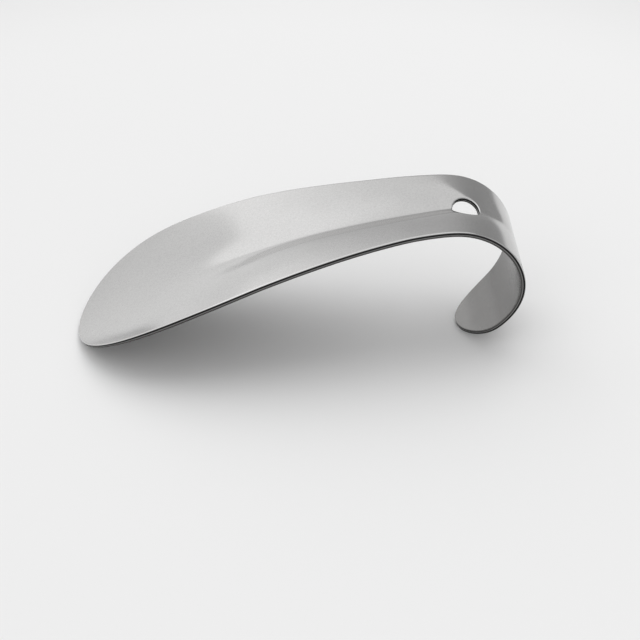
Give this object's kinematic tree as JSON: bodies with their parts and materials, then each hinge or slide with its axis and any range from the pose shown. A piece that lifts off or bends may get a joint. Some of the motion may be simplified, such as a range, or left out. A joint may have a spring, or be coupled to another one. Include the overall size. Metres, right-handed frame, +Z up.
{
  "type": "pocket shoehorn",
  "caption": "Short satin steel shoehorn stamped from one sheet: dished blade, creased neck, round hanging hole and a finger hook.",
  "frame": {"origin": "under the middle of the part's box, at the height of what it stands on", "axes": "+X along the strip, from the blade's tip to the bend; +Y across the blade; +Z up, the hollow side of the blade facing up"},
  "size_m": [0.1016, 0.0394, 0.0338],
  "materials": {
    "strip": "satin"
  },
  "bodies": {
    "root": {"shoehorn_strip": "strip"}
  },
  "joints": []
}
